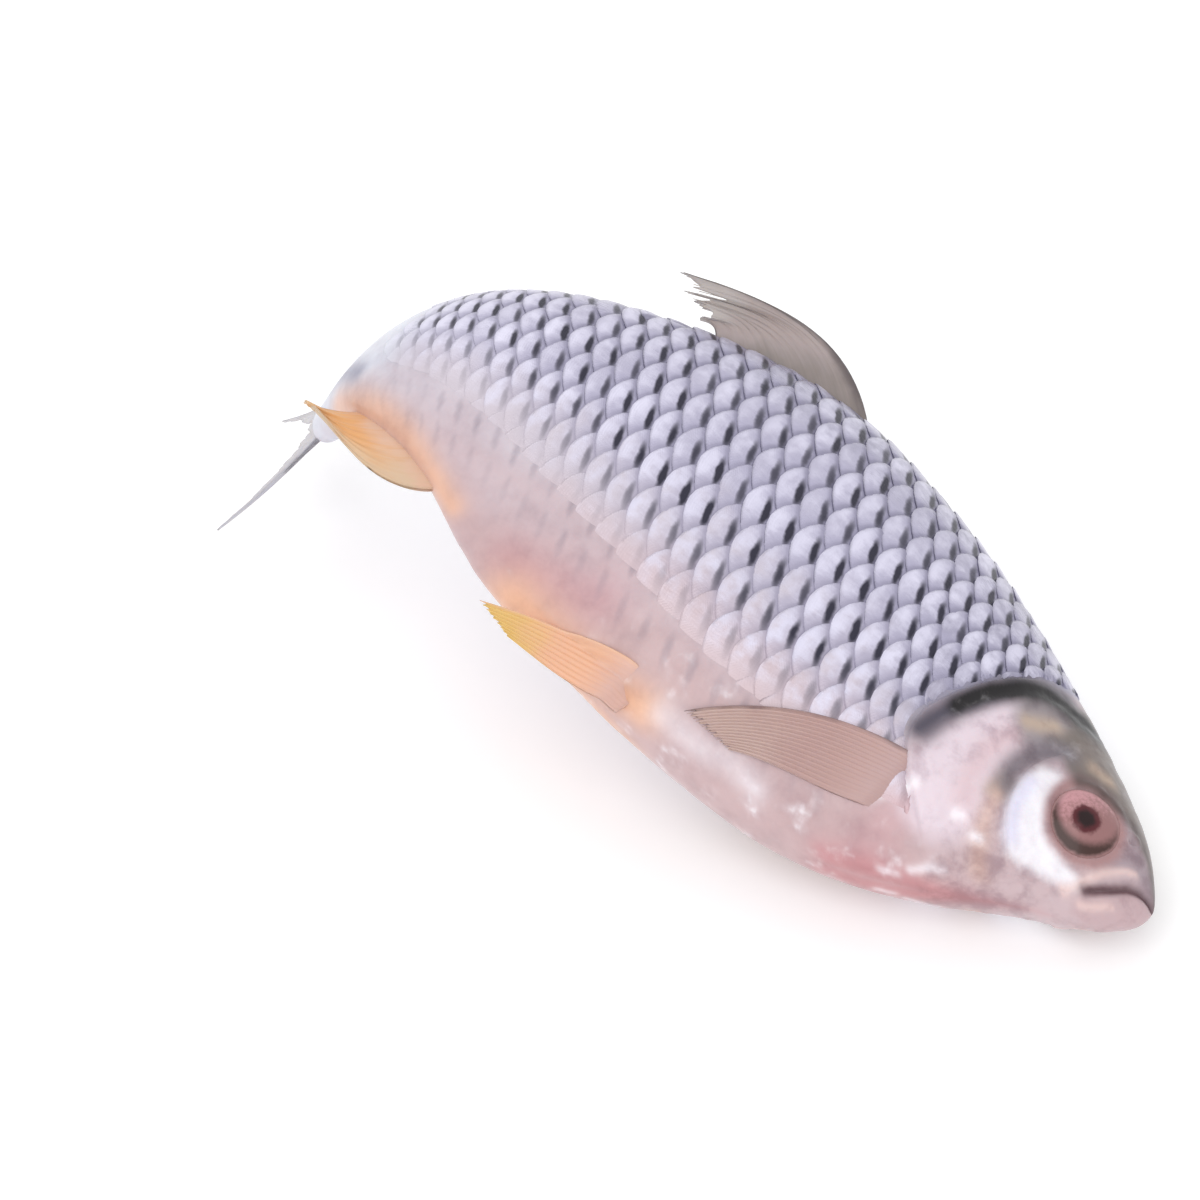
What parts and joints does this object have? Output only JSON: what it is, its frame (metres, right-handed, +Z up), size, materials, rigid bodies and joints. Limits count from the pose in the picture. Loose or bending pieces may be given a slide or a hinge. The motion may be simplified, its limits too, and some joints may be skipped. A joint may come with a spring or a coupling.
{
  "type": "whole raw fish",
  "caption": "Whole raw deep-bodied river fish with scales, head and fins on, lying on its side with its tail drooping to the table.",
  "frame": {"origin": "centre of the bounding box, on the table plane that the head and the tip of the upper lobe of the tail fin rest on", "axes": "+X towards the head, +Y towards the back fin, +Z up out of the right flank"},
  "size_m": [0.24, 0.1034, 0.0712],
  "materials": {
    "fish_skin": "wet silvery lilac scales with dark blue-grey edges, pink belly, glossy"
  },
  "bodies": {
    "root": {"fish": "fish_skin"}
  },
  "joints": []
}
